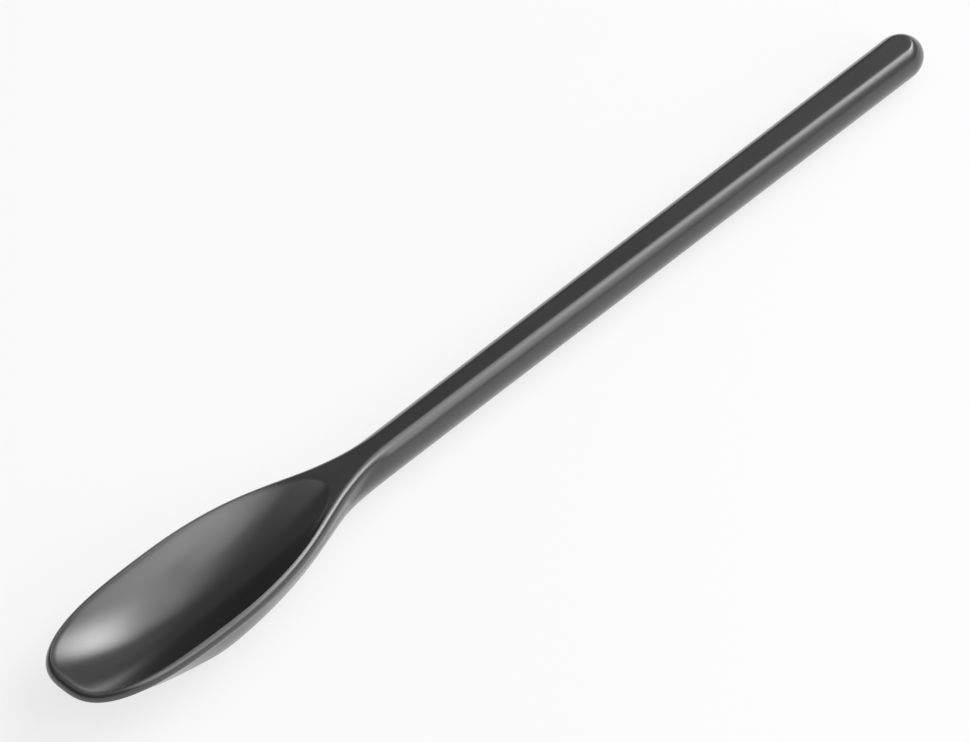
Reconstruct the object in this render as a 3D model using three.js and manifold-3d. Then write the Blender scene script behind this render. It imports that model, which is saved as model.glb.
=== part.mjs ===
// Mixing spoon, one solid moulding in black melamine, in millimetres.
// It is drawn with its flat top at z = 0 and the tip of the bowl at x = 0, then laid down
// as it lies on a table, on the underside of the bowl and of the handle's end.
import * as THREE from 'three';
import { mergeVertices } from 'three/addons/utils/BufferGeometryUtils.js';
import Module from 'manifold-3d';

// Plan of the bowl: squarish tip, widest part, and the flare that runs down to the neck
const spoonLength = 300;
const bowlWidth = 32.1;
const bowlWidestAt = 40;
const tipSquareness = 2.75;
const neckAt = 108;
const flareBowlPull = 37.5;
const flareNeckPull = 26.5;

// Handle: an oval rod with a flat planed along its top
const neckWidth = 10.2;
const neckDepth = 11.5;
const neckFlatWidth = 3.7;
const endWidth = 12.2;
const endDepth = 11;
const endFlatWidth = 6.3;
const endRounding = 7.2;

// Rim: a plate edge with a rounded top corner, which grows out of the handle and rings the bowl
const rimCorner = 2;
const rimHeight = 2.4;
const rimNeckWidth = 6.6;
const rimTail = 14;
const partingStep = 0.15;
const neckBlend = 0.8;

// Bowl: the hull under the rim and the hollow inside it
const bowlDepth = 14.5;
const floorThickness = 5.5;
const rimThickness = 1.55;
const neckLand = 22.1;
const hollowTipSquareness = 2.9;
const hollowNeckSquareness = 1.9;

// Lean of the hull's walls where they leave the rim, in degrees: 0 is upright, 90 is level
const hullSideLean = 6;
const hullTipLean = 35;
const hullFlareLean = 5.6;

// Pull of the hull's curves: ovalPull makes a true quarter ellipse, a larger pull a fuller wall
const ovalPull = 0.5523;
const hullPull = 0.785;
const hullTipPull = 0.62;

// Facets along the outline and down the walls
const tipSteps = 20;
const flareSteps = 26;
const handleSteps = 10;
const endSteps = 9;
const shoulderSteps = 5;
const dishSteps = 10;

const degree = Math.PI / 180;
const { lerp, clamp, smoothstep } = THREE.MathUtils;
const endCentre = spoonLength - endRounding;
const hollowDepth = bowlDepth - floorThickness;
const hollowHalfWidth = bowlWidth / 2 - rimThickness;
const hollowTipReach = bowlWidestAt - rimThickness;
const hollowNeckReach = neckAt - neckLand - bowlWidestAt;

const wasm = await Module();
wasm.setup();

// How far along the handle a station lies: 0 at the neck, 1 where the end starts to turn
function alongHandle(x) {
  return clamp((x - neckAt) / (endCentre - neckAt), 0, 1);
}

// How far the bowl has turned into the neck: 0 at its widest, 1 at the neck
function alongFlare(x) {
  return smoothstep(x, bowlWidestAt, neckAt);
}

function handleHalfWidth(x) {
  return lerp(neckWidth, endWidth, alongHandle(x)) / 2;
}

// Share of the handle's half width that its flat top takes up
function flatShare(x) {
  return lerp(neckFlatWidth, endFlatWidth, alongHandle(x)) / 2 / handleHalfWidth(x);
}

function keelDepth(x) {
  return lerp(lerp(bowlDepth, neckDepth, alongFlare(x)), endDepth, alongHandle(x));
}

// Depth of the widest line: the parting line under the rim, and the oval's middle on the handle
function partingDepth(x) {
  const flatRise = Math.sqrt(1 - flatShare(x) ** 2);
  const ovalMiddle = keelDepth(x) * flatRise / (1 + flatRise);
  return lerp(rimHeight, ovalMiddle, alongFlare(x));
}

// Half outline of the rim from the tip to the neck, drawn in by an inset: the tip is a quarter
// of a superellipse, the flare one curve
function rimOutline(inset) {
  const halfBowl = bowlWidth / 2 - inset;
  const halfNeck = rimNeckWidth / 2 - inset;
  const flare = new THREE.CubicBezierCurve(
    new THREE.Vector2(bowlWidestAt, halfBowl),
    new THREE.Vector2(bowlWidestAt + flareBowlPull, halfBowl),
    new THREE.Vector2(neckAt - flareNeckPull, halfNeck),
    new THREE.Vector2(neckAt, halfNeck),
  );
  const tip = [];
  for (let i = 0; i < tipSteps; i += 1) {
    const angle = i / tipSteps * Math.PI / 2;
    const along = Math.cos(angle) ** (2 / tipSquareness);
    const across = Math.sin(angle) ** (2 / tipSquareness);
    tip.push(new THREE.Vector2(lerp(bowlWidestAt, inset, along), halfBowl * across));
  }
  return [...tip, ...flare.getPoints(flareSteps)];
}

// Half outline of the body under the rim: it follows the rim round the bowl and widens
// smoothly into the handle's rod, which ends in a half oval
function bodyOutline() {
  const outline = rimOutline(partingStep);
  for (const point of outline) {
    if (point.x > bowlWidestAt) {
      const rod = handleHalfWidth(point.x);
      const blend = neckBlend * alongFlare(point.x);
      point.y = (point.y + rod + Math.hypot(point.y - rod, blend)) / 2;
    }
  }
  const neckJoin = outline[outline.length - 1].y - neckWidth / 2;
  for (let i = 1; i <= handleSteps; i += 1) {
    const x = lerp(neckAt, endCentre, i / handleSteps);
    const fade = neckJoin * (1 - i / handleSteps) ** 4;
    outline.push(new THREE.Vector2(x, handleHalfWidth(x) + fade));
  }
  for (let i = 1; i <= endSteps; i += 1) {
    const angle = i / endSteps * Math.PI / 2;
    const across = i === endSteps ? 0 : Math.cos(angle);
    outline.push(new THREE.Vector2(endCentre + endRounding * Math.sin(angle), endWidth / 2 * across));
  }
  return outline;
}

// Bearings from the middle of the hollow's floor, spread evenly along its edge: 0 is towards the tip
function hollowBearings() {
  const steps = tipSteps + flareSteps;
  const halfLength = (hollowTipReach + hollowNeckReach) / 2;
  const bearings = [];
  for (let i = 0; i <= steps; i += 1) {
    const angle = i / steps * Math.PI;
    bearings.push(Math.atan2(hollowHalfWidth * Math.sin(angle), halfLength * Math.cos(angle)));
  }
  return bearings;
}

// Reach of the hollow on a bearing: squarish round the tip, oval where it closes before the neck
function hollowReach(bearing) {
  const swing = (1 - Math.cos(bearing)) / 2;
  const squareness = lerp(hollowTipSquareness, hollowNeckSquareness, swing);
  const along = Math.abs(Math.cos(bearing)) / lerp(hollowTipReach, hollowNeckReach, swing);
  const across = Math.sin(bearing) / hollowHalfWidth;
  return (along ** squareness + across ** squareness) ** (-1 / squareness);
}

// A station: an outline point seen from its centre, so that walls run from the one to the other.
// Along the middle of the spoon the centre lies abreast; round the tip and the end it stays put.
function station(point, lastCentre) {
  const centre = new THREE.Vector2(clamp(point.x, bowlWidestAt, lastCentre), 0);
  const reach = point.distanceTo(centre);
  const outward = point.clone().sub(centre).divideScalar(reach);
  const at = (distance, z) => new THREE.Vector3(
    centre.x + outward.x * distance,
    outward.y * distance,
    z,
  );
  const turn = Math.atan2(Math.abs(outward.x), outward.y) / (Math.PI / 2);
  return { x: centre.x, reach, turn, forward: outward.x < 0, at };
}

// Wall of the hull: one curve from the widest line, leaning in as it starts, to the level keel
function hullWall(place, top, keel, lean, pull) {
  const drop = keel - top;
  const curve = new THREE.CubicBezierCurve(
    new THREE.Vector2(place.reach, -top),
    new THREE.Vector2(
      place.reach * (1 - pull * Math.sin(lean * degree)),
      -top - drop * pull * Math.cos(lean * degree),
    ),
    new THREE.Vector2(place.reach * pull, -keel),
    new THREE.Vector2(0, -keel),
  );
  return curve.getPoints(dishSteps).map((point) => place.at(point.x, point.y));
}

// Body: oval shoulder from the flat down to the widest line, then the hull or the rod's underside
function bodySection(point) {
  const place = station(point, endCentre);
  const parting = partingDepth(place.x);
  const flatAngle = Math.acos(flatShare(place.x));
  const wall = [];
  for (let i = 0; i < shoulderSteps; i += 1) {
    const angle = flatAngle * (1 - i / shoulderSteps);
    wall.push(place.at(place.reach * Math.cos(angle), parting * (Math.sin(angle) / Math.sin(flatAngle) - 1)));
  }
  const flare = alongFlare(place.x);
  const sideLean = hullSideLean * (1 - flare) + hullFlareLean * 4 * flare * (1 - flare);
  const tipShare = place.forward ? place.turn : 0;
  const lean = lerp(sideLean, hullTipLean, tipShare);
  const pull = lerp(lerp(hullPull, ovalPull, flare), hullTipPull, tipShare);
  return [...wall, ...hullWall(place, parting, keelDepth(place.x), lean, pull)];
}

// Rim: rounded top corner, then straight down to the parting line
function rimSection(point) {
  const place = station(point, neckAt + rimTail);
  const wall = [];
  for (let i = 0; i <= shoulderSteps; i += 1) {
    const angle = i / shoulderSteps * Math.PI / 2;
    wall.push(place.at(place.reach - rimCorner * (1 - Math.sin(angle)), rimCorner * (Math.cos(angle) - 1)));
  }
  wall.push(place.at(place.reach, -partingDepth(place.x)));
  return wall;
}

// Hollow: opens upwards past the rim, and dishes down in a parabola to the middle of its floor
function hollowSection(bearing) {
  const reach = hollowReach(bearing);
  const at = (share, z) => new THREE.Vector3(
    bowlWidestAt - reach * share * Math.cos(bearing),
    reach * share * Math.sin(bearing),
    z,
  );
  const wall = [at(1, rimCorner)];
  for (let i = dishSteps; i >= 0; i -= 1) {
    const share = i / dishSteps;
    wall.push(at(share, hollowDepth * (share ** 2 - 1)));
  }
  return wall;
}

// Closed solid from the wall of one side: the other side is its mirror image, and the borders
// are joined straight across
function mirroredSolid(sections) {
  const positions = [];
  const put = (a, b, c) => positions.push(...a.toArray(), ...b.toArray(), ...c.toArray());
  const quad = (a, b, c, d) => {
    put(a, b, c);
    put(a, c, d);
  };
  const other = (point) => new THREE.Vector3(point.x, -point.y, point.z);
  const last = sections.length - 1;
  const lowest = sections[0].length - 1;
  for (let i = 0; i < last; i += 1) {
    const here = sections[i];
    const next = sections[i + 1];
    for (let j = 0; j < lowest; j += 1) {
      quad(here[j], next[j], next[j + 1], here[j + 1]);
      quad(other(here[j + 1]), other(next[j + 1]), other(next[j]), other(here[j]));
    }
    quad(here[0], other(here[0]), other(next[0]), next[0]);
    quad(next[lowest], other(next[lowest]), other(here[lowest]), here[lowest]);
  }
  for (let j = 0; j < lowest; j += 1) {
    const first = sections[0];
    const end = sections[last];
    quad(first[j], first[j + 1], other(first[j + 1]), other(first[j]));
    quad(other(end[j]), other(end[j + 1]), end[j + 1], end[j]);
  }
  const geometry = new THREE.BufferGeometry();
  geometry.setAttribute('position', new THREE.Float32BufferAttribute(positions, 3));
  return solidFrom(geometry);
}

// Solid from a closed geometry: shared corners are merged and empty triangles left out
function solidFrom(geometry) {
  geometry.deleteAttribute('normal');
  geometry.deleteAttribute('uv');
  const merged = mergeVertices(geometry, 1e-4);
  const triangles = [];
  for (let i = 0; i < merged.index.count; i += 3) {
    const corners = [merged.index.getX(i), merged.index.getX(i + 1), merged.index.getX(i + 2)];
    if (new Set(corners).size === 3) {
      triangles.push(...corners);
    }
  }
  return new wasm.Manifold(new wasm.Mesh({
    numProp: 3,
    vertProperties: Float32Array.from(merged.attributes.position.array),
    triVerts: Uint32Array.from(triangles),
  }));
}

function geometryFrom(solid) {
  const mesh = solid.getMesh();
  const geometry = new THREE.BufferGeometry();
  geometry.setAttribute('position', new THREE.BufferAttribute(mesh.vertProperties, 3));
  geometry.setIndex(new THREE.BufferAttribute(mesh.triVerts, 1));
  geometry.computeVertexNormals();
  return geometry;
}

// The moulding: body and rim are one, and the hollow is cut out of both
const rimHalf = rimOutline(0);
rimHalf.push(new THREE.Vector2(neckAt + rimTail, rimNeckWidth / 2));
const body = mirroredSolid(bodyOutline().map(bodySection));
const rim = mirroredSolid(rimHalf.map(rimSection));
const hollow = mirroredSolid(hollowBearings().map(hollowSection));
const moulding = geometryFrom(body.add(rim).subtract(hollow));

// Lying down: the spoon tips until the bowl's underside and the handle's end touch the table
const lyingAngle = Math.atan2(bowlDepth - endDepth, endCentre - bowlWidestAt);
moulding.rotateY(lyingAngle);
moulding.computeBoundingBox();
const middle = (moulding.boundingBox.min.x + moulding.boundingBox.max.x) / 2;
moulding.translate(-middle, 0, -moulding.boundingBox.min.z);

// Bowl and handle meet on one upright plane across the neck
const neckPlane = neckAt * Math.cos(lyingAngle) - middle;
const handleSpace = new THREE.BoxGeometry(spoonLength, spoonLength, spoonLength);
handleSpace.translate(neckPlane + spoonLength / 2, 0, 0);
const spoonSolid = solidFrom(moulding);
const handleSpaceSolid = solidFrom(handleSpace);

const melamine = { color: 0x0b0b0c, roughness: 0.28, metalness: 0 };

const bowl = new THREE.Mesh(
  geometryFrom(spoonSolid.subtract(handleSpaceSolid)),
  new THREE.MeshStandardMaterial(melamine),
);
bowl.name = 'bowl';

const handle = new THREE.Mesh(
  geometryFrom(spoonSolid.intersect(handleSpaceSolid)),
  new THREE.MeshStandardMaterial(melamine),
);
handle.name = 'handle';

const spoon = new THREE.Group();
spoon.add(bowl, handle);

export default spoon;
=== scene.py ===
import bisect
import math

import bmesh
import bpy
from mathutils import Matrix, Vector


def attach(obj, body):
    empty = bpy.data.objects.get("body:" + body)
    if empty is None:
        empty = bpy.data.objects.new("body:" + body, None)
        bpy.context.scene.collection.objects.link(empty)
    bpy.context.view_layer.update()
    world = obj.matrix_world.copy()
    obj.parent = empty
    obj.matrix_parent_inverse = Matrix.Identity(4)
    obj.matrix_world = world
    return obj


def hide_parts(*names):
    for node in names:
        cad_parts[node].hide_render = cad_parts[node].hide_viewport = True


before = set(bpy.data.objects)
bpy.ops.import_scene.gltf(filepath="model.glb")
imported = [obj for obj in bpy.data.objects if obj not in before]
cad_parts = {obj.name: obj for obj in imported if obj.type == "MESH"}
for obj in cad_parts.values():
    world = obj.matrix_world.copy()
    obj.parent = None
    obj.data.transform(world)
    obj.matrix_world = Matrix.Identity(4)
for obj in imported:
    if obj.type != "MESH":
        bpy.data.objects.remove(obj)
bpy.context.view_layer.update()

# The spoon: bowl, rim, neck and handle are one solid moulding in black melamine resin, pressed
# in a two-part mould that meets under the rim, then tumbled, which softens its edges.
# Sizes are in millimetres, drawn with the flat top at z = 0 and the tip of the bowl at x = 0.
spoon_length = 300.0
bowl_width = 32.1
widest_at = 40.0
tip_squareness = 2.75
neck_at = 108.0
flare_bowl_pull = 37.5
flare_neck_pull = 26.5

neck_width = 10.2
neck_depth = 11.5
neck_flat = 3.7
end_width = 12.2
end_depth = 11.0
end_flat = 6.3
end_rounding = 7.2
end_centre = spoon_length - end_rounding

rim_corner = 2.0
rim_height = 2.4
rim_neck_width = 6.6
parting_step = 0.15
parting_round = 0.12
crease_fillet = 0.2
neck_blend = 0.8
neck_run, neck_passes = 20.0, 50
neck_fade = 4

bowl_depth = 14.5
floor_thickness = 5.5
hollow_depth = bowl_depth - floor_thickness
rim_thickness = 1.55
neck_land = 22.1
hollow_tip_squareness, hollow_neck_squareness = 2.9, 1.9
land_run_out = 10.0
land_end = neck_at - neck_land + land_run_out

hull_side_lean, hull_tip_lean, hull_flare_lean = 6.0, 35.0, 5.6
oval_pull, hull_pull, hull_tip_pull = 0.5523, 0.785, 0.62
hull_tip_ease = 0.25

edge_softness = 0.35
lip_softness = 0.3
lip_overhang = 0.09
lip_drop = 0.1
least_softness = lip_overhang / 10

tip_steps, flare_steps, handle_steps, end_steps = 56, 96, 60, 24
hull_rows, shoulder_rows, wall_rows, corner_rows, edge_rows = 28, 6, 4, 10, 6
flat_rows, land_rows, lip_rows, dish_rows = 4, 10, 5, 28
handle_spacing = 2.7
crest_samples, soft_samples, halvings = 300, 9, 40


def lerp(a, b, t):
    return a + (b - a) * t


def along_handle(x):
    """How far along the handle: 0 at the neck, 1 where its end starts to turn."""
    return min(max((x - neck_at) / (end_centre - neck_at), 0.0), 1.0)


def along_flare(x):
    """How far the bowl has turned into the neck, easing in and out: 0 at its widest, 1 at the neck."""
    t = min(max((x - widest_at) / (neck_at - widest_at), 0.0), 1.0)
    return t * t * (3 - 2 * t)


def rod_half_width(x):
    return lerp(neck_width, end_width, along_handle(x)) / 2


def flat_share(x):
    """Share of the handle's half width that its flat top takes up."""
    return lerp(neck_flat, end_flat, along_handle(x)) / 2 / rod_half_width(x)


def keel_depth(x):
    """Depth of the spoon's lowest line."""
    return lerp(lerp(bowl_depth, neck_depth, along_flare(x)), end_depth, along_handle(x))


def parting_depth(x):
    """Depth of the widest line: the parting line under the rim, the oval's middle on the handle."""
    rise = math.sqrt(1 - flat_share(x) ** 2)
    return lerp(rim_height, keel_depth(x) * rise / (1 + rise), along_flare(x))


def bezier(points, t):
    a, b, c, d = points
    return a * (1 - t) ** 3 + b * 3 * t * (1 - t) ** 2 + c * 3 * t * t * (1 - t) + d * t ** 3


def tip_curve(apex, half_width, turn):
    """Squarish tip in plan: turn 0 is its apex on the centre line, 1 its widest point."""
    along = math.cos(turn * math.pi / 2) ** (2 / tip_squareness) if turn < 1 else 0.0
    across = math.sin(turn * math.pi / 2) ** (2 / tip_squareness)
    return Vector((lerp(widest_at, apex, along), half_width * across))


def hollow_reach(bearing):
    """Reach of the hollow from the middle of its floor: bearing 0 is towards the tip, pi the neck."""
    swing = (1 - math.cos(bearing)) / 2
    length = lerp(widest_at - rim_thickness, neck_at - neck_land - widest_at, swing)
    squareness = lerp(hollow_tip_squareness, hollow_neck_squareness, swing)
    along = abs(math.cos(bearing)) / length
    across = math.sin(bearing) / (bowl_width / 2 - rim_thickness)
    return (along ** squareness + across ** squareness) ** (-1 / squareness)


def hollow_bearing(point):
    return math.atan2(point.y, widest_at - point.x)


def dish_curve(reach, top, floor, lean, pull, t):
    """Wall of a dish: t 0 is its upper edge, 1 the middle of its floor."""
    slant = math.radians(lean)
    return bezier((
        Vector((reach, -top)),
        Vector((reach * (1 - pull * math.sin(slant)), -top - (floor - top) * pull * math.cos(slant))),
        Vector((reach * pull, -floor)),
        Vector((0.0, -floor)),
    ), t)


def stations():
    """Half outline from the tip to the handle's end, as points of the rim and body and a bearing."""
    half_bowl = bowl_width / 2
    for i in range(tip_steps):
        turn = i / tip_steps
        rim = tip_curve(0.0, half_bowl, turn)
        body = tip_curve(parting_step, half_bowl - parting_step, turn)
        yield rim, body, hollow_bearing(body)
    flare = (
        Vector((widest_at, half_bowl)),
        Vector((widest_at + flare_bowl_pull, half_bowl)),
        Vector((neck_at - flare_neck_pull, rim_neck_width / 2)),
        Vector((neck_at, rim_neck_width / 2)),
    )
    for i in range(flare_steps + 1):
        rim = bezier(flare, i / flare_steps)
        rod = rod_half_width(rim.x)
        inset = rim.y - parting_step
        blend = neck_blend * along_flare(rim.x)
        body = Vector((rim.x, (inset + rod + math.hypot(inset - rod, blend)) / 2))
        past = min((rim.x - widest_at) / (land_end - widest_at), 1.0)
        yield rim, body, hollow_bearing(Vector((rim.x, rim.y * (1 - past ** neck_fade))))
    join = body.y - neck_width / 2
    for i in range(1, handle_steps + 1):
        t = i / handle_steps
        x = lerp(neck_at, end_centre, t * (1 + handle_spacing * t * t) / (1 + handle_spacing))
        yield None, Vector((x, rod_half_width(x) + join * (1 - along_handle(x)) ** neck_fade)), None
    for i in range(1, end_steps + 1):
        angle = i / end_steps * math.pi / 2
        across = math.cos(angle) if i < end_steps else 0.0
        yield None, Vector((end_centre + end_rounding * math.sin(angle), end_width / 2 * across)), None


def hollow_crossing(centre, outward, limit):
    """How far from the centre of a section its line crosses the hollow's edge, or 0 past the hollow."""
    inside, outside = 0.0, limit
    for _ in range(halvings):
        d = (inside + outside) / 2
        point = centre + outward * d
        if math.hypot(point.x - widest_at, point.y) < hollow_reach(hollow_bearing(point)):
            inside = d
        else:
            outside = d
    return inside


def bends_up(first, middle, last):
    """Whether the middle point of three lies below the straight line between the other two."""
    return (middle[1] - first[1]) * (last[0] - first[0]) < (last[1] - first[1]) * (middle[0] - first[0])


def section(rim, body, bearing, last_of_bowl):
    """One section of the skin: from the keel up the outside, over the rim, and down into the hollow."""
    centre = Vector((min(max(body.x, widest_at), end_centre), 0.0))
    x = centre.x
    reach = (body - centre).length
    outward = (body - centre) / reach
    turn = math.atan2(abs(outward.x), outward.y) / (math.pi / 2)
    parting, keel = parting_depth(x), keel_depth(x)
    share = flat_share(x)
    rise = math.sqrt(1 - share * share)
    flat_edge = share * reach

    # the hull leans inwards most round the tip, and more about halfway along the flare than at its ends
    flare = along_flare(x)
    lean = lerp(hull_side_lean, 0.0, flare) + hull_flare_lean * 4 * flare * (1 - flare)
    tip_share = 0.0
    if outward.x < 0:
        eased = math.hypot(turn, hull_tip_ease) - hull_tip_ease
        tip_share = eased / (math.hypot(1.0, hull_tip_ease) - hull_tip_ease)
    lean = lerp(lean, hull_tip_lean, tip_share)
    rows = []

    def place(d, z):
        return Vector((centre.x + outward.x * d, outward.y * d, z))

    # hull or underside of the rod
    pull = lerp(lerp(hull_pull, oval_pull, flare), hull_tip_pull, tip_share)
    for k in range(hull_rows):
        d, z = dish_curve(reach, parting, keel, lean, pull, 1 - k / hull_rows)
        rows.append(place(d, z))

    # shoulder of the rod above its widest line, or fine step under the rim
    if rim is None:
        foot = flat_edge + (reach - flat_edge) / 2
        rim_reach = foot - crease_fillet
    else:
        rim_reach = (rim - centre).length
        foot = rim_reach + min(max(reach - rim_reach, 0.0), crease_fillet)

    def oval(d):
        if d <= flat_edge:
            return 0.0
        if d >= reach:
            return -parting
        return parting * (math.sqrt(1 - (d / reach) ** 2) / rise - 1)

    def corner(d):
        if rim is None or d > rim_reach:
            return -parting
        inside = max(d - rim_reach + rim_corner, 0.0) / rim_corner
        return -rim_corner * (1 - math.sqrt(max(0.0, 1 - inside * inside)))

    # where the rod stands out past the rim, a straight fillet fills the crease between them
    crest = [(0.0, 0.0)]
    if reach > rim_reach:
        for n in range(1, crest_samples + 1):
            d = reach * n / crest_samples
            point = (d, max(oval(d), corner(d)))
            while len(crest) > 1 and bends_up(crest[-2], crest[-1], point):
                crest.pop()
            crest.append(point)

    def top(d):
        if reach <= rim_reach:
            return max(oval(d), corner(d))
        n = bisect.bisect_left(crest, (min(max(d, 0.0), reach),), 1, len(crest) - 1)
        (d0, z0), (d1, z1) = crest[n - 1], crest[n]
        return lerp(z0, z1, (d - d0) / (d1 - d0))

    foot_height = max(top(foot), parting_round - parting)
    last_angle = math.acos(min(foot / reach, 1.0))
    for k in range(shoulder_rows):
        s = k / shoulder_rows
        d, z = lerp(reach, foot, s), parting_round * s - parting
        if foot < reach:
            d = reach * math.cos(last_angle * s)
            z = max(top(d), z)
        rows.append(place(d, z))

    # rim wall and rounded corner up to the flat
    wall_top = max(-rim_corner, top(rim_reach))
    for k in range(wall_rows):
        s = k / wall_rows
        d = lerp(foot, rim_reach, s)
        rows.append(place(d, top(d) if foot < reach else lerp(foot_height, wall_top, s)))
    brink = flat_edge
    if rim is not None:
        brink = max(flat_edge, rim_reach - rim_corner)
    softness = edge_softness
    if bearing is not None:
        lip_edge = hollow_crossing(centre, outward, rim_reach) + lip_overhang
        softness = min(max(brink - lip_edge, least_softness), edge_softness)
        brink = max(brink, lip_edge + softness)
    start = rim_reach - rim_corner
    first_angle = math.asin(min(max((brink + softness - start) / rim_corner, 0.0), 1.0))
    for k in range(corner_rows):
        angle = lerp(math.pi / 2, first_angle, k / corner_rows)
        d = start + rim_corner * math.sin(angle)
        rows.append(place(d, top(d)))

    def softened(d):
        spread = [softness * (2 * n / (soft_samples - 1) - 1) for n in range(soft_samples)]
        return sum(top(d + offset) for offset in spread) / soft_samples

    for k in range(edge_rows):
        d = brink + softness * (1 - 2 * k / (edge_rows - 1))
        rows.append(place(d, softened(d)))
    inner = brink - softness

    # flat of the handle
    if bearing is None or last_of_bowl:
        for k in range(1, flat_rows + 1):
            rows.append(place(inner * (1 - k / flat_rows), 0.0))
        if not last_of_bowl:
            return rows

    # land round the hollow, its lip and its wall
    lip_reach = hollow_reach(bearing)
    land_height = rows[-1].z

    def dish(share_out):
        d = lip_reach * share_out
        z = lerp(-hollow_depth, land_height - lip_drop, share_out * share_out)
        return Vector((widest_at - math.cos(bearing) * d, math.sin(bearing) * d, z))

    lip_point = dish(1.0)
    lip_point.z = land_height
    lip_inner = dish(1 - lip_softness / lip_reach)
    lip_outer = lip_point.copy()
    lip_outer.xy += (lip_point - lip_inner).xy.normalized() * lip_overhang
    land_start = rows[-1]
    remaining = land_rows - (flat_rows if last_of_bowl else 0)
    for k in range(1, remaining + 1):
        rows.append(land_start.lerp(lip_outer, k / remaining))
    for k in range(1, lip_rows):
        s = k / lip_rows
        rows.append(lip_outer * (1 - s) ** 2 + lip_point * 2 * s * (1 - s) + lip_inner * s * s)
    for k in range(dish_rows + 1):
        rows.append(dish((1 - lip_softness / lip_reach) * (1 - k / dish_rows)))
    return rows


# the rows down into the hollow end at the station whose bearing points straight to the neck
outline = list(stations())
bowl_end = [bearing for rim, body, bearing in outline].index(math.pi)
all_sections = []
for i, (rim, body, bearing) in enumerate(outline):
    all_sections.append(section(rim, body, bearing if i <= bowl_end else None, i == bowl_end))

# the rim dies away into the rod without a break
outer_rows = hull_rows + shoulder_rows + wall_rows + corner_rows + edge_rows
neck = [i for i, (rim, body, bearing) in enumerate(outline) if abs(body.x - neck_at) < neck_run]
for _ in range(neck_passes):
    eased = []
    for i in neck:
        trio = zip(all_sections[i - 1][:outer_rows], all_sections[i], all_sections[i + 1])
        eased.append([(before + at * 2 + after) / 4 for before, at, after in trio])
    for i, rows in zip(neck, eased):
        all_sections[i][:outer_rows] = rows
bowl_sections = all_sections[:bowl_end + 1]
handle_sections = [all_sections[bowl_end][:outer_rows + flat_rows]] + all_sections[bowl_end + 1:]

# one grid of faces for the bowl and one for the handle, shaped by the sections and mirrored
edge_middle, edge_spread = outer_rows - edge_rows / 2, 9.0
merge_distance, sliver = 1e-4, 1e-5
skin = bmesh.new()
edge_layer = skin.verts.layers.float.new("worn_edge")
for sections in (bowl_sections, handle_sections):
    across, along = len(sections[0]) - 1, len(sections) - 1
    grid = bmesh.ops.create_grid(skin, x_segments=along, y_segments=across, size=1.0)
    for vertex in grid["verts"]:
        i = round((vertex.co.x + 1) / 2 * along)
        j = round((vertex.co.y + 1) / 2 * across)
        vertex.co = sections[i][j]
        vertex[edge_layer] = max(0.0, 1 - abs(j - edge_middle) / edge_spread)
bmesh.ops.remove_doubles(skin, verts=skin.verts[:], dist=merge_distance)
half = skin.verts[:] + skin.edges[:] + skin.faces[:]
bmesh.ops.mirror(skin, geom=half, axis="Y", merge_dist=merge_distance)
bmesh.ops.remove_doubles(skin, verts=skin.verts[:], dist=merge_distance)
bmesh.ops.dissolve_degenerate(skin, edges=skin.edges[:], dist=sliver)
bmesh.ops.recalc_face_normals(skin, faces=skin.faces[:])

# it lies on the underside of the bowl and of the handle's end, and is in metres from here on
metres = 0.001
lying_turn = math.atan2(bowl_depth - end_depth, end_centre - widest_at)
lay = Matrix.Rotation(lying_turn, 4, "Y") @ Matrix.Scale(metres, 4)
bmesh.ops.transform(skin, matrix=lay, verts=skin.verts[:])
lowest = min(v.co.z for v in skin.verts)
middle = (min(v.co.x for v in skin.verts) + max(v.co.x for v in skin.verts)) / 2
settle = Matrix.Translation((-middle, 0.0, -lowest))
bmesh.ops.transform(skin, matrix=settle, verts=skin.verts[:])
lay = settle @ lay
for face in skin.faces:
    face.smooth = True
spoon_mesh = bpy.data.meshes.new("spoon")
skin.to_mesh(spoon_mesh)
skin.free()
spoon = bpy.data.objects.new("spoon", spoon_mesh)
bpy.context.scene.collection.objects.link(spoon)

# Black pigment with a faint flow of the filler, a satin skin with a slow ripple that is never quite
# even, the fine hair marks of washing up, and edges that the tumbling has rubbed a little brighter.
melamine = bpy.data.materials.new("black_melamine")
melamine.use_nodes = True
nodes, links = melamine.node_tree.nodes, melamine.node_tree.links
shader = nodes["Principled BSDF"]
shader.inputs["IOR"].default_value = 1.65
shader.inputs["Coat Roughness"].default_value = 0.18
shader.inputs["Coat IOR"].default_value = 1.6
coords = nodes.new("ShaderNodeTexCoord")


def pattern(scale, detail, stretch=1.0, turn=0.0, upright=1.0):
    """Noise drawn out by stretch along the moulding and by upright in height, then turned in plan."""
    place = nodes.new("ShaderNodeMapping")
    place.vector_type = "TEXTURE"
    place.inputs["Scale"].default_value = (stretch, 1.0, upright)
    place.inputs["Rotation"].default_value = (0.0, 0.0, math.radians(turn))
    links.new(coords.outputs["Object"], place.inputs["Vector"])
    noise = nodes.new("ShaderNodeTexNoise")
    noise.inputs["Scale"].default_value = scale
    noise.inputs["Detail"].default_value = detail
    links.new(place.outputs["Vector"], noise.inputs["Vector"])
    return noise.outputs["Fac"]


def ranged(value, within, to):
    """A value taken from one range to another, easing in and out and held at its ends."""
    node = nodes.new("ShaderNodeMapRange")
    node.interpolation_type = "SMOOTHSTEP"
    links.new(value, node.inputs["Value"])
    node.inputs["From Min"].default_value, node.inputs["From Max"].default_value = within
    node.inputs["To Min"].default_value, node.inputs["To Max"].default_value = to
    return node.outputs["Result"]


def combined(operation, first, second):
    node = nodes.new("ShaderNodeMath")
    node.operation = operation
    links.new(first, node.inputs[0])
    links.new(second, node.inputs[1])
    return node.outputs["Value"]


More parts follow.
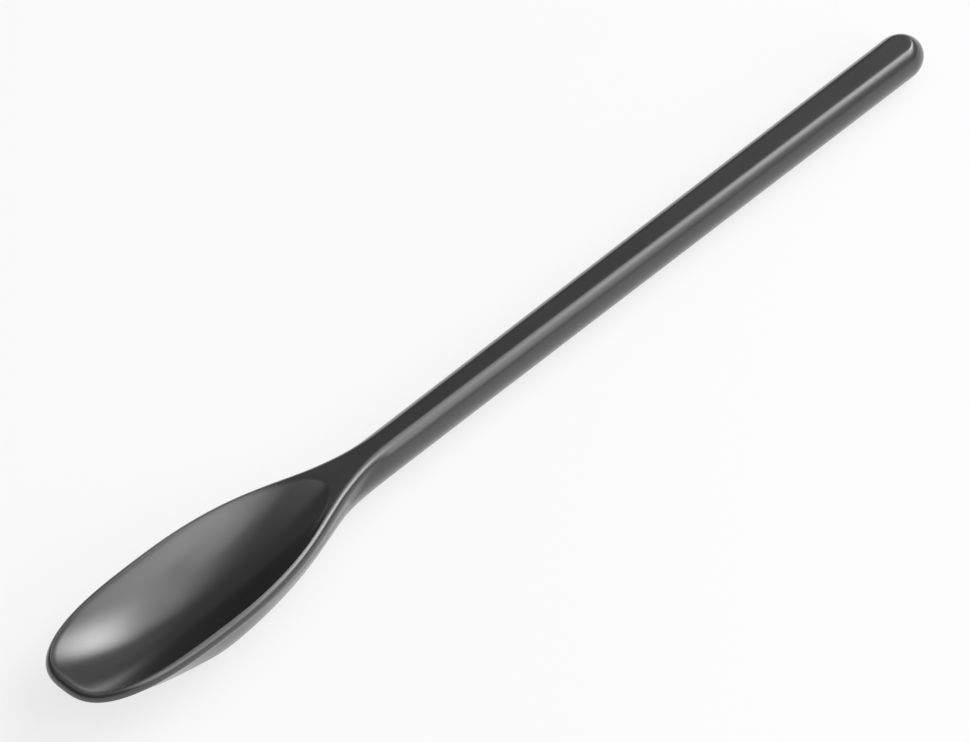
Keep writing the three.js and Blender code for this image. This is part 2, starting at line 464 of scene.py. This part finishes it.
whole, noise_swing = (0.0, 1.0), (0.3, 0.7)
flow = pattern(scale=90.0, detail=4.0, stretch=4.0)
satin = pattern(scale=600.0, detail=2.0)
ripple = pattern(scale=160.0, detail=1.0, stretch=2.0)
handling = pattern(scale=45.0, detail=3.0, stretch=1.5)
long_marks = pattern(scale=3600.0, detail=0.0, stretch=90.0, turn=8.0, upright=50.0)
cross_marks = pattern(scale=3200.0, detail=0.0, stretch=70.0, turn=-27.0, upright=50.0)
hair_marks = combined(
    "MAXIMUM",
    ranged(long_marks, (0.7, 0.8), whole),
    ranged(cross_marks, (0.72, 0.82), whole),
)
worn_edge = nodes.new("ShaderNodeAttribute")
worn_edge.attribute_name = "worn_edge"
rubbed = combined("MULTIPLY", worn_edge.outputs["Fac"], ranged(handling, (0.35, 0.65), (0.4, 1.0)))

pigment = nodes.new("ShaderNodeMix")
pigment.data_type = "RGBA"
pigment.inputs["A"].default_value = (0.0065, 0.0065, 0.007, 1.0)
pigment.inputs["B"].default_value = (0.0105, 0.0102, 0.0102, 1.0)
links.new(ranged(flow, noise_swing, whole), pigment.inputs["Factor"])
rubbed_pigment = nodes.new("ShaderNodeMix")
rubbed_pigment.data_type = "RGBA"
rubbed_pigment.inputs["B"].default_value = (0.017, 0.0168, 0.0165, 1.0)
links.new(rubbed, rubbed_pigment.inputs["Factor"])
links.new(pigment.outputs["Result"], rubbed_pigment.inputs["A"])
links.new(rubbed_pigment.outputs["Result"], shader.inputs["Base Color"])

handled_roughness, satin_roughness = (0.305, 0.345), (-0.01, 0.01)
mark_roughness, rubbed_polish = (0.0, 0.05), (0.0, 0.02)
skin_roughness = combined(
    "ADD",
    ranged(handling, noise_swing, handled_roughness),
    ranged(satin, noise_swing, satin_roughness),
)
marked_roughness = combined("ADD", skin_roughness, ranged(hair_marks, whole, mark_roughness))
roughness = combined("SUBTRACT", marked_roughness, ranged(rubbed, whole, rubbed_polish))
links.new(roughness, shader.inputs["Roughness"])
coat_weight = (0.64, 0.56)
links.new(ranged(handling, noise_swing, coat_weight), shader.inputs["Coat Weight"])

ripple_height = (0.0, 1.0e-5)
bump = nodes.new("ShaderNodeBump")
bump.inputs["Distance"].default_value = 1.0
links.new(ranged(ripple, whole, ripple_height), bump.inputs["Height"])
links.new(bump.outputs["Normal"], shader.inputs["Normal"])
spoon_mesh.materials.append(melamine)

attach(spoon, "root")
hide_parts("bowl", "handle")

# The floor: a wide round sheet of white studio paper under the spoon, turned up in a low cove all
# round its edge, so that the paper is also what stands behind the spoon in a low view.
floor_radius, cove_radius, cove_steps, floor_segments = 3.0, 0.4, 8, 128
floor_height = -0.0001
paper_white, paper_roughness, seen_share = 0.85, 0.9, 0.75
floor_mesh = bpy.data.meshes.new("floor")
sheet = bmesh.new()
bmesh.ops.create_circle(sheet, cap_ends=True, segments=floor_segments, radius=floor_radius)
bmesh.ops.translate(sheet, verts=sheet.verts[:], vec=(0.0, 0.0, floor_height))
for i in range(1, cove_steps + 1):
    angle = i / cove_steps * math.pi / 2
    border = [edge for edge in sheet.edges if edge.is_boundary]
    upturn = bmesh.ops.extrude_edge_only(sheet, edges=border)["geom"]
    reach = floor_radius + cove_radius * math.sin(angle)
    for vertex in [v for v in upturn if isinstance(v, bmesh.types.BMVert)]:
        vertex.co.xy = vertex.co.xy.normalized() * reach
        vertex.co.z = floor_height + cove_radius * (1 - math.cos(angle))
bmesh.ops.recalc_face_normals(sheet, faces=sheet.faces[:])
for face in sheet.faces:
    face.smooth = len(face.verts) == 4
sheet.to_mesh(floor_mesh)
sheet.free()
floor = bpy.data.objects.new("floor", floor_mesh)
bpy.context.scene.collection.objects.link(floor)

# Seen straight or mirrored the paper is mostly plain white, and the rest of it keeps the shadow.
paper = bpy.data.materials.new("white_paper")
paper.use_nodes = True
paper_nodes, paper_links = paper.node_tree.nodes, paper.node_tree.links
lit_paper = paper_nodes["Principled BSDF"]
lit_paper.inputs["Base Color"].default_value = (paper_white, paper_white, paper_white, 1.0)
lit_paper.inputs["Roughness"].default_value = paper_roughness
plain_white = paper_nodes.new("ShaderNodeEmission")
plain_white.inputs["Strength"].default_value = 1.0
path = paper_nodes.new("ShaderNodeLightPath")
seen = paper_nodes.new("ShaderNodeMath")
seen.operation = "MAXIMUM"
seen_through = paper_nodes.new("ShaderNodeMath")
seen_through.operation = "MAXIMUM"
white_part = paper_nodes.new("ShaderNodeMath")
white_part.operation = "MULTIPLY"
white_part.inputs[1].default_value = seen_share
paper_mix = paper_nodes.new("ShaderNodeMixShader")
paper_links.new(path.outputs["Is Camera Ray"], seen.inputs[0])
paper_links.new(path.outputs["Is Glossy Ray"], seen.inputs[1])
paper_links.new(seen.outputs["Value"], seen_through.inputs[0])
paper_links.new(path.outputs["Is Transmission Ray"], seen_through.inputs[1])
paper_links.new(seen_through.outputs["Value"], white_part.inputs[0])
paper_links.new(white_part.outputs["Value"], paper_mix.inputs["Fac"])
paper_links.new(lit_paper.outputs["BSDF"], paper_mix.inputs[1])
paper_links.new(plain_white.outputs["Emission"], paper_mix.inputs[2])
paper_links.new(paper_mix.outputs["Shader"], paper_nodes["Material Output"].inputs["Surface"])
floor_mesh.materials.append(paper)

# The light: a long key softbox off the handle's end, two smaller ones on the near side, a panel
# overhead and a broad weak one high beyond the bowl. All fade to their edges, so that the black
# moulding shows long soft reflections, and the room around them is dim.
room_level = 0.21
world = bpy.data.worlds.new("studio")
world.use_nodes = True
room = world.node_tree.nodes["Background"]
room.inputs["Color"].default_value = (1.0, 1.0, 1.0, 1.0)
room.inputs["Strength"].default_value = room_level
bpy.context.scene.world = world


def softbox(name, bearing, height, distance, width, depth, radiance):
    """A panel that faces the spoon and fades to its edges: bearing from +X and height in degrees."""
    b, h = math.radians(bearing), math.radians(height)
    toward = Vector((math.cos(h) * math.cos(b), math.cos(h) * math.sin(b), math.sin(h)))
    panel = bpy.data.lights.new(name, "AREA")
    panel.shape = "RECTANGLE"
    panel.size, panel.size_y = width, depth
    panel.energy = radiance * math.pi * width * depth
    panel.use_nodes = True
    lamp_nodes, lamp_links = panel.node_tree.nodes, panel.node_tree.links

    def across_panel(operation):
        node = lamp_nodes.new("ShaderNodeVectorMath")
        node.operation = operation
        return node

    # with u and v from -1 to 1 across the panel, its strength is (1 - u * u) * (1 - v * v)
    place = lamp_nodes.new("ShaderNodeNewGeometry")
    centred = across_panel("MULTIPLY_ADD")
    centred.inputs[1].default_value = (2.0, 2.0, 0.0)
    centred.inputs[2].default_value = (-1.0, -1.0, 0.0)
    squared = across_panel("MULTIPLY")
    falling = across_panel("SUBTRACT")
    falling.inputs[0].default_value = (1.0, 1.0, 0.0)
    split = lamp_nodes.new("ShaderNodeSeparateXYZ")
    fade = lamp_nodes.new("ShaderNodeMath")
    fade.operation = "MULTIPLY"
    lamp_links.new(place.outputs["Parametric"], centred.inputs[0])
    lamp_links.new(centred.outputs["Vector"], squared.inputs[0])
    lamp_links.new(centred.outputs["Vector"], squared.inputs[1])
    lamp_links.new(squared.outputs["Vector"], falling.inputs[1])
    lamp_links.new(falling.outputs["Vector"], split.inputs["Vector"])
    lamp_links.new(split.outputs["X"], fade.inputs[0])
    lamp_links.new(split.outputs["Y"], fade.inputs[1])
    lamp_links.new(fade.outputs["Value"], lamp_nodes["Emission"].inputs["Strength"])
    stand = bpy.data.objects.new(name, panel)
    stand.location = toward * distance
    stand.rotation_euler = toward.to_track_quat("Z", "Y").to_euler()
    bpy.context.scene.collection.objects.link(stand)


softbox("key_softbox", bearing=-12.5, height=40.5, distance=2.5, width=3.4, depth=1.15, radiance=8.2)
softbox("camera_softbox", bearing=-84.5, height=36.4, distance=1.02, width=0.49, depth=1.35, radiance=3.07)
softbox("fill_softbox", bearing=-64.0, height=27.4, distance=1.03, width=0.54, depth=0.59, radiance=2.58)
softbox("overhead_panel", bearing=-26.0, height=62.0, distance=1.0, width=1.2, depth=0.8, radiance=1.3)
softbox("back_panel", bearing=173.9, height=65.5, distance=1.4, width=2.67, depth=1.12, radiance=0.65)

# The camera: it looks down across the spoon from the bowl's near side, with a long lens, as in the
# photograph. Its place is given in the spoon's own millimetres, and it is laid down with the spoon.
view_turn, view_height = math.radians(46.12), math.radians(47.357)
view_distance, pixels_per_mm = 1490.0, 4.1363
look_at = Vector((138.48, -2.435, 0.0))
image_width, sensor = 970.0, 36.0
right = Vector((math.cos(view_turn), -math.sin(view_turn), 0.0))
away = Vector((math.sin(view_turn), math.cos(view_turn), 0.0))
forward = away * math.cos(view_height) - Vector((0.0, 0.0, 1.0)) * math.sin(view_height)
upward = right.cross(forward)
eye = look_at - forward * view_distance
lens = bpy.data.cameras.new("camera")
lens.sensor_width = sensor
lens.lens = view_distance * pixels_per_mm * sensor / image_width
lens.clip_start, lens.clip_end = 0.01, 50.0
camera = bpy.data.objects.new("camera", lens)
bpy.context.scene.collection.objects.link(camera)
turned = Matrix.Rotation(lying_turn, 3, "Y") @ Matrix((right, upward, -forward)).transposed()
camera.matrix_world = Matrix.Translation(lay @ eye) @ turned.to_4x4()
bpy.context.scene.camera = camera

bpy.context.scene.view_settings.view_transform = "Standard"
